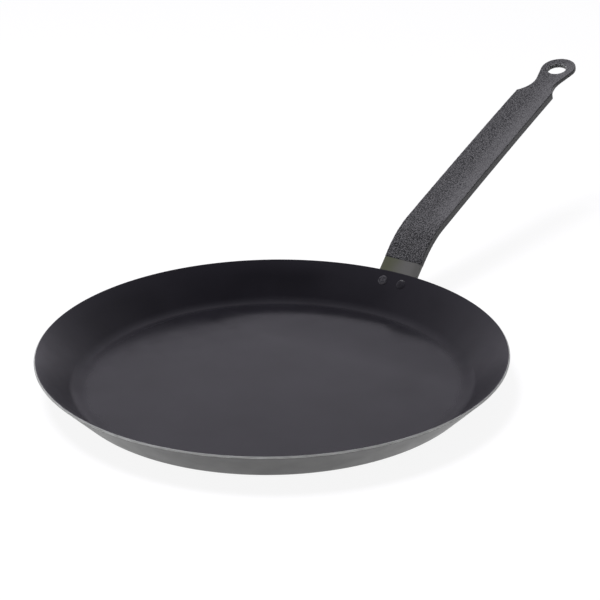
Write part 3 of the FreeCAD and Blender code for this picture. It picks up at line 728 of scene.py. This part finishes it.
def blued_sheet_steel(name, finish, satin_range, wall_satin, gloss):
    # Pressed sheet with a hard thin oxide film: nearly black with a violet cast, satin, so it shows soft
    # reflections that strengthen at a low angle. The film's thickness drifts in clouds a few centimetres
    # wide, and the rolled surface under it has a fine grain, drawn a little coarse to show.
    material, tree, place = new_material(name)
    cloud, smear, grain = 38 * MM, 11 * MM, 0.9 * MM
    clouds = add(tree, "ShaderNodeTexNoise", {"Vector": place, "Scale": 1 / cloud, "Detail": 4.0})
    film = add(tree, "ShaderNodeMapRange", (clouds, NOISE_LOW, NOISE_HIGH))
    whole = add(tree, "ShaderNodeMix", (film, finish.blued, finish.blued_worn), data_type="RGBA")
    axes = add(tree, "ShaderNodeSeparateXYZ", (place,)).outputs
    # Toward the rim the film is lighter: thinner with wear, and also a painted reflection of the glancing
    # light on the wall.
    rim_wear_and_reflection = add(tree, "ShaderNodeMapRange", (
        axes["Z"], RIM_WEAR_AND_REFLECTION_START, RIM_WEAR_AND_REFLECTION_END), interpolation_type="SMOOTHSTEP")
    tone = add(tree, "ShaderNodeMix", (rim_wear_and_reflection, whole, finish.blued_rim_wear_and_reflection), data_type="RGBA")
    smears = add(tree, "ShaderNodeTexNoise", {"Vector": place, "Scale": 1 / smear, "Detail": 5.0})
    satin = add(tree, "ShaderNodeMapRange", (smears, NOISE_LOW, NOISE_HIGH, *satin_range))
    in_plan = add(tree, "ShaderNodeVectorMath", (place, (1.0, 1.0, 0.0)), operation="MULTIPLY")
    reach = add(tree, "ShaderNodeVectorMath", (in_plan,), operation="LENGTH")
    rubbed = add(tree, "ShaderNodeMapRange", (
        axes["X"], RUB_START, RUB_END, 0.0, -RUBBED), interpolation_type="SMOOTHSTEP")
    drawn = add(tree, "ShaderNodeMapRange", (
        reach.outputs["Value"], SATIN_INNER, SATIN_OUTER, rubbed, wall_satin),
        interpolation_type="SMOOTHSTEP")
    rough = add(tree, "ShaderNodeMath", (satin, drawn), operation="ADD")
    grit = add(tree, "ShaderNodeTexNoise", {"Vector": place, "Scale": 1 / grain, "Detail": 3.0})
    rolled = add(tree, "ShaderNodeBump", {"Strength": 0.04, "Distance": 0.05 * MM, "Height": grit})
    bow = add(tree, "ShaderNodeMapRange", (
        axes["X"], BOW_START, BOW_END, 0.0, BOW_RISE), interpolation_type="SMOOTHSTEP")
    bowed = add(tree, "ShaderNodeBump", {"Distance": 1.0, "Height": bow, "Normal": rolled})
    shader = add(tree, "ShaderNodeBsdfPrincipled", {
        "Base Color": tone, "Roughness": rough, "Normal": bowed, "IOR": 1.5, "Specular IOR Level": gloss})
    add(tree, "ShaderNodeOutputMaterial", {"Surface": shader})
    return material


def sheared_steel(finish, rim_radius):
    # The sheet's own cut edge, sheared and then brushed along the rim: bare grey metal whose streaks run
    # round the pan for several millimetres and are a fraction of a millimetre wide.
    material, tree, place = new_material("sheared steel edge")
    streak_length, streak_width = 7 * MM, 0.3 * MM
    axes = add(tree, "ShaderNodeSeparateXYZ", (place,)).outputs
    turn = add(tree, "ShaderNodeMath", (axes["Y"], axes["X"]), operation="ARCTAN2")
    round_rim = add(tree, "ShaderNodeMath", (turn, rim_radius / streak_length), operation="MULTIPLY")
    up = add(tree, "ShaderNodeMath", (axes["Z"], 1 / streak_width), operation="MULTIPLY")
    run = add(tree, "ShaderNodeCombineXYZ", {"X": round_rim, "Y": up})
    streaks = add(tree, "ShaderNodeTexNoise", {"Vector": run, "Scale": 1.0, "Detail": 3.0})
    stain = add(tree, "ShaderNodeMapRange", {"Value": streaks, "From Min": 0.35, "From Max": 0.75})
    tone = add(tree, "ShaderNodeMix", (stain, finish.cut_edge, finish.cut_dark), data_type="RGBA")
    dull = add(tree, "ShaderNodeMapRange", {"Value": streaks, "To Min": 0.55, "To Max": 0.75})
    brushed = add(tree, "ShaderNodeBump", {"Strength": 0.15, "Distance": 0.05 * MM, "Height": streaks})
    shader = add(tree, "ShaderNodeBsdfPrincipled", {
        "Base Color": tone, "Metallic": 0.45, "Roughness": dull, "Normal": brushed})
    add(tree, "ShaderNodeOutputMaterial", {"Surface": shader})
    return material


def rolled_strip_steel(finish):
    # Hot rolled flat bar under its thin grey scale: smooth and nearly matt, more oxide than metal. Baking
    # the coating beside it left an olive stain on one side that fades out toward the other.
    material, tree, place = new_material("rolled strip steel")
    patch, wander, stain_width, pit = 9 * MM, 8 * MM, 13 * MM, 0.5 * MM
    patches = add(tree, "ShaderNodeTexNoise", {"Vector": place, "Scale": 1 / patch, "Detail": 3.0})
    across = add(tree, "ShaderNodeSeparateXYZ", (place,))
    shifted = add(tree, "ShaderNodeMath", (patches, wander, across.outputs["Y"]), operation="MULTIPLY_ADD")
    stained = add(tree, "ShaderNodeMapRange", (shifted, 0.0, stain_width), interpolation_type="SMOOTHSTEP")
    tone = add(tree, "ShaderNodeMix", (stained, finish.bare, finish.heat_tint), data_type="RGBA")
    tooth = add(tree, "ShaderNodeTexNoise", {"Vector": place, "Scale": 1 / pit, "Detail": 3.0})
    satin = add(tree, "ShaderNodeMapRange", {"Value": tooth, "To Min": 0.45, "To Max": 0.60})
    rolled = add(tree, "ShaderNodeBump", {"Strength": 0.10, "Distance": 0.05 * MM, "Height": tooth})
    shader = add(tree, "ShaderNodeBsdfPrincipled", {
        "Base Color": tone, "Metallic": 0.2, "Roughness": satin, "Normal": rolled,
        "Specular IOR Level": 0.5})
    add(tree, "ShaderNodeOutputMaterial", {"Surface": shader})
    return material


def hammered_epoxy(finish):
    # Baked epoxy powder with a hammered finish: dark grey, half gloss on the crests of its dimples. The
    # crests are painted lighter, a painted highlight, and the pits darker, a painted shade. A finer speckle,
    # about as wide as a pixel so that it shows, breaks up tone and gloss, less so along the side where the
    # coat flowed out, which is painted paler, a painted sheen. Specks round the hole in the bright colour of
    # bare steel are painted highlights.
    material, tree, place = new_material("hammered epoxy")
    speckle = 0.6 * MM
    kept = [add(tree, "ShaderNodeAttribute", attribute_name=name) for name in ("tone", "flow_and_sheen", "rubbed")]
    lie, flow_and_sheen, rubbed = [attribute.outputs["Fac"] for attribute in kept]
    pebble = add(tree, "ShaderNodeTexNoise", {"Vector": place, "Scale": 1 / speckle, "Detail": 1.0})
    contrast = add(tree, "ShaderNodeMapRange", {"Value": flow_and_sheen, "To Min": 4.6, "To Max": 3.2})
    centred = add(tree, "ShaderNodeMath", (pebble, 0.5), operation="SUBTRACT")
    height = add(tree, "ShaderNodeMath", (centred, contrast, lie), operation="MULTIPLY_ADD", use_clamp=True)
    coat = add(tree, "ShaderNodeMix", (height, finish.epoxy_pit_shade, finish.epoxy), data_type="RGBA")
    # Painted highlights: specks round the hole take the bright colour of bare steel.
    specks = add(tree, "ShaderNodeMapRange", {"Value": pebble, "From Min": 0.52, "From Max": 0.68})
    painted_hole_glints = add(tree, "ShaderNodeMath", (rubbed, specks), operation="MULTIPLY")
    tone = add(tree, "ShaderNodeMix", (painted_hole_glints, coat, finish.cut_edge), data_type="RGBA")
    gloss = add(tree, "ShaderNodeMapRange", {"Value": pebble, "To Min": 0.34, "To Max": 0.54})
    broken = add(tree, "ShaderNodeBump", {"Strength": 0.35, "Distance": 0.06 * MM, "Height": pebble})
    shader = add(tree, "ShaderNodeBsdfPrincipled", {
        "Base Color": tone, "Roughness": gloss, "Normal": broken, "IOR": 1.5, "Specular IOR Level": 0.35})
    add(tree, "ShaderNodeOutputMaterial", {"Surface": shader})
    return material


def driven_rivet_steel(finish):
    # Mild steel rivet blued with the dish, lighter where the film is worn in specks about a millimetre wide.
    # These specks are much stronger on the head at +Y than at -Y: a painted reflection. The heads' upper
    # edges carry painted glints.
    material, tree, place = new_material("driven rivet steel")
    speck, reflection_reach, glint_reach = 1.1 * MM, 6 * MM, 4 * MM
    glint_start, glint_full = 18.6 * MM, 19.6 * MM
    axes = add(tree, "ShaderNodeSeparateXYZ", (place,)).outputs
    specks = add(tree, "ShaderNodeTexNoise", {"Vector": place, "Scale": 1 / speck, "Detail": 3.0})
    worn = add(tree, "ShaderNodeMapRange", {"Value": specks, "From Min": 0.32, "From Max": 0.62})
    # The head at +Y takes much more of the lighter tone than the one at -Y: a painted reflection.
    reflection_side = add(tree, "ShaderNodeMapRange", (axes["Y"], -reflection_reach, reflection_reach, 0.15, 0.9))
    worn_and_reflection = add(tree, "ShaderNodeMath", (worn, reflection_side), operation="MULTIPLY")
    dull = add(tree, "ShaderNodeMix", (worn_and_reflection, finish.blued_worn, finish.rivet), data_type="RGBA")
    # Painted glints: a spot or two on the upper edge of a head takes the bright colour of bare steel, mostly
    # on the head at -Y.
    upper = add(tree, "ShaderNodeMapRange", (axes["Z"], glint_start, glint_full))
    glint_side = add(tree, "ShaderNodeMapRange", (axes["Y"], -glint_reach, glint_reach, 1.0, 0.1))
    glint_specks = add(tree, "ShaderNodeMapRange", {
        "Value": specks, "From Min": 0.45, "From Max": 0.55, "To Max": glint_side})
    painted_glint = add(tree, "ShaderNodeMath", (upper, glint_specks), operation="MULTIPLY")
    tone = add(tree, "ShaderNodeMix", (painted_glint, dull, finish.cut_edge), data_type="RGBA")
    struck = add(tree, "ShaderNodeBump", {"Strength": 0.3, "Distance": 0.1 * MM, "Height": specks})
    shader = add(tree, "ShaderNodeBsdfPrincipled", {
        "Base Color": tone, "Metallic": 0.15, "Roughness": 0.34, "Normal": struck})
    add(tree, "ShaderNodeOutputMaterial", {"Surface": shader})
    return material


def studio_paper(finish):
    # Matt pale paper. What the camera and the reflections see is lifted to white, and the lamps add the
    # rest, so the pan's soft shadow stays.
    material, tree, place = new_material("studio paper")
    fibre_width = 2 * MM
    rays = add(tree, "ShaderNodeLightPath").outputs
    seen = rays["Is Camera Ray"]
    for kind in ("Is Glossy Ray", "Is Transmission Ray"):
        seen = add(tree, "ShaderNodeMath", (seen, rays[kind]), operation="MAXIMUM")
    lift = add(tree, "ShaderNodeMath", (seen, PAPER_LIFT), operation="MULTIPLY")
    glow = add(tree, "ShaderNodeEmission", {"Color": finish.floor, "Strength": lift})
    fibre = add(tree, "ShaderNodeTexNoise", {"Vector": place, "Scale": 1 / fibre_width, "Detail": 2.0})
    tooth = add(tree, "ShaderNodeMapRange", (fibre, 0.0, 1.0, *PAPER_GREYS))
    matt = add(tree, "ShaderNodeBsdfDiffuse", {"Color": tooth})
    both = add(tree, "ShaderNodeAddShader", (glow, matt))
    add(tree, "ShaderNodeOutputMaterial", {"Surface": both})
    return material


def studio_sky(finish, bright_side):
    """Soft light all round: a pale band at the horizon, and a room that is dim on the camera's side."""
    world = bpy.data.worlds.new("studio light")
    world.use_nodes = True
    tree = world.node_tree
    tree.nodes.clear()
    toward = add(tree, "ShaderNodeTexCoord").outputs["Generated"]
    axes = add(tree, "ShaderNodeSeparateXYZ", (toward,))
    ahead = add(tree, "ShaderNodeVectorMath", (toward, bright_side), operation="DOT_PRODUCT")
    turned = add(tree, "ShaderNodeMapRange", (ahead.outputs["Value"], ROOM_START, 1.0))
    fall = add(tree, "ShaderNodeMath", (turned, ROOM_STEEP), operation="POWER")
    room = add(tree, "ShaderNodeMath", (fall, ROOM_RISE, ROOM_LOW), operation="MULTIPLY_ADD")
    band = add(tree, "ShaderNodeMapRange", (
        axes.outputs["Z"], 0.0, BAND_TOP, BAND_LIGHT, 0.0), interpolation_type="SMOOTHSTEP")
    level = add(tree, "ShaderNodeMath", (room, band), operation="ADD")
    light = add(tree, "ShaderNodeBackground", {"Color": finish.light, "Strength": level})
    add(tree, "ShaderNodeOutputWorld", {"Surface": light})
    return world


class CREPE_PAN_OT_dish(bpy.types.Operator):
    """Turns the blued dish from its half section"""

    bl_idname = "crepe_pan.dish"
    bl_label = "Dish"

    def execute(self, context):
        dish, finish = context.scene.crepe_pan_dish, context.scene.crepe_pan_finish
        piece = new_piece("dish", section_mesh("dish section", dish_section(dish)))
        edge = sheared_steel(finish, dish.rim_diameter / 2)
        drawn = blued_sheet_steel(
            "blued sheet steel, drawn side", finish, DRAWN_SATIN, wall_satin=0.0, gloss=DRAWN_GLOSS)
        cooking = blued_sheet_steel(
            "blued sheet steel, cooking side", finish, COOKING_SATIN, WALL_SATIN, COOKING_GLOSS)
        run_tree(piece, turned_section_tree(), {
            "Steps": dish.steps, "Outside": drawn, "Edge": edge, "Inside": cooking})
        fasten(piece, "dish_steel", "pan_body")
        return {"FINISHED"}


class CREPE_PAN_OT_strip(bpy.types.Operator):
    """Bends the bare strip of the handle, with its neck, eye and hole"""

    bl_idname = "crepe_pan.strip"
    bl_label = "Strip"

    def execute(self, context):
        dish, handle = context.scene.crepe_pan_dish, context.scene.crepe_pan_handle
        # The coating lines the hole, so the strip's own hole is wider by its thickness.
        hole = handle.hole_diameter / 2 + handle.coat
        form = StripForm(dish, handle, -handle.foot_length, 0.0, hole, handle.plain_mesh)
        piece = new_piece("strip", form.build("strip"))
        piece.data.materials.append(rolled_strip_steel(context.scene.crepe_pan_finish))
        fasten(piece, "strip_steel", "handle_strip")
        return {"FINISHED"}


class CREPE_PAN_OT_coating(bpy.types.Operator):
    """Lays the hammered coating over the strip"""

    bl_idname = "crepe_pan.coating"
    bl_label = "Coating"

    def execute(self, context):
        dish, handle = context.scene.crepe_pan_dish, context.scene.crepe_pan_handle
        hole = handle.hole_diameter / 2
        form = StripForm(dish, handle, handle.coat_start, handle.coat, hole, handle.fine_mesh)
        piece = new_piece("coating", form.build("coating"))
        face_outward(piece.data)
        run_tree(piece, hammered_skin_tree(), {
            "Grain": handle.grain, "Height": handle.grain_height,
            "Knee End": form.place(form.knee_end, 0.0, 0.0).x,
            "Hole": HANGING_HOLE["pos_m"], "Hole Radius": hole,
            "Coating": hammered_epoxy(context.scene.crepe_pan_finish)})
        fasten(piece, "handle_epoxy", "handle_coating")
        return {"FINISHED"}


class CREPE_PAN_OT_rivets(bpy.types.Operator):
    """Drives the two rivets through the wall and the foot of the strip"""

    bl_idname = "crepe_pan.rivets"
    bl_label = "Rivets"

    def execute(self, context):
        scene = context.scene
        dish, handle, rivets = scene.crepe_pan_dish, scene.crepe_pan_handle, scene.crepe_pan_rivets
        rim_radius, rim_level = rim_corner(dish)
        first = (
            rim_radius - rivets.drop * math.cos(dish.wall_angle),
            -rivets.spacing / 2,
            rim_level - rivets.drop * math.sin(dish.wall_angle),
        )
        piece = new_piece("rivets", section_mesh("rivet section", rivet_section(dish, handle, rivets)))
        run_tree(piece, rivet_row_tree(turned_section_tree()), {
            "Steps": rivets.steps, "First": first, "Spacing": rivets.spacing, "Tilt": -dish.wall_angle,
            "Steel": driven_rivet_steel(scene.crepe_pan_finish)})
        fasten(piece, "rivet_steel", "rivet_left", "rivet_right")
        return {"FINISHED"}


class CREPE_PAN_OT_stage(bpy.types.Operator):
    """Sets the pale floor, the soft light and the camera"""

    bl_idname = "crepe_pan.stage"
    bl_label = "Stage"

    def execute(self, context):
        scene, studio = context.scene, context.scene.crepe_pan_studio
        half = studio.floor_size / 2
        corners = [(-half, -half, 0.0), (half, -half, 0.0), (half, half, 0.0), (-half, half, 0.0)]
        floor = new_piece("floor", new_mesh("floor", corners, [(0, 1, 2, 3)]))
        floor.data.materials.append(studio_paper(scene.crepe_pan_finish))
        target = Vector(studio.target)
        sight = target - Vector(studio.eye)
        bright_side = Quaternion((0, 0, 1), studio.room_turn) @ Vector((sight.x, sight.y, 0.0)).normalized()
        scene.world = studio_sky(scene.crepe_pan_finish, bright_side)
        key = bpy.data.lights.new("key", "AREA")
        key.size = studio.key_size
        key.energy = studio.key_power
        key.color = scene.crepe_pan_finish.light[:3]
        lamp = new_piece("key", key)
        lamp.location = studio.key_place
        # A soft lamp this even leaves no glint of its own, so only matt surfaces take its light.
        lamp.visible_glossy = False
        lamp.rotation_euler = (target - lamp.location).to_track_quat("-Z", "Y").to_euler()
        camera = bpy.data.cameras.new("camera")
        camera.lens = studio.lens
        view = new_piece("camera", camera)
        view.location = studio.eye
        aim = sight.to_track_quat("-Z", "Y") @ Quaternion((0, 0, 1), studio.roll)
        view.rotation_euler = aim.to_euler()
        scene.camera = view
        scene.view_settings.view_transform = "Standard"
        return {"FINISHED"}


class CREPE_PAN_PT_panel(bpy.types.Panel):
    """The pan's pieces and the sizes and colours that they are made from"""

    bl_idname = "CREPE_PAN_PT_panel"
    bl_label = "Crepe pan"
    bl_space_type = "VIEW_3D"
    bl_region_type = "UI"
    bl_category = "Crepe pan"

    def draw(self, context):
        for operator in OPERATORS:
            self.layout.operator(operator.bl_idname)
        for name, group in GROUPS.items():
            box = self.layout.box()
            for field in group.__annotations__:
                box.prop(getattr(context.scene, name), field)


GROUPS = {
    "crepe_pan_dish": CrepePanDish,
    "crepe_pan_handle": CrepePanHandle,
    "crepe_pan_rivets": CrepePanRivets,
    "crepe_pan_finish": CrepePanFinish,
    "crepe_pan_studio": CrepePanStudio,
}
OPERATORS = (
    CREPE_PAN_OT_dish,
    CREPE_PAN_OT_strip,
    CREPE_PAN_OT_coating,
    CREPE_PAN_OT_rivets,
    CREPE_PAN_OT_stage,
)
CLASSES = (*GROUPS.values(), *OPERATORS, CREPE_PAN_PT_panel)


def register():
    for item in CLASSES:
        bpy.utils.register_class(item)
    for name, group in GROUPS.items():
        setattr(bpy.types.Scene, name, PointerProperty(type=group))


def unregister():
    for name in GROUPS:
        delattr(bpy.types.Scene, name)
    for item in reversed(CLASSES):
        bpy.utils.unregister_class(item)


def main():
    register()
    bpy.ops.crepe_pan.dish()
    bpy.ops.crepe_pan.strip()
    bpy.ops.crepe_pan.coating()
    bpy.ops.crepe_pan.rivets()
    bpy.ops.crepe_pan.stage()


if __name__ == "__main__":
    main()
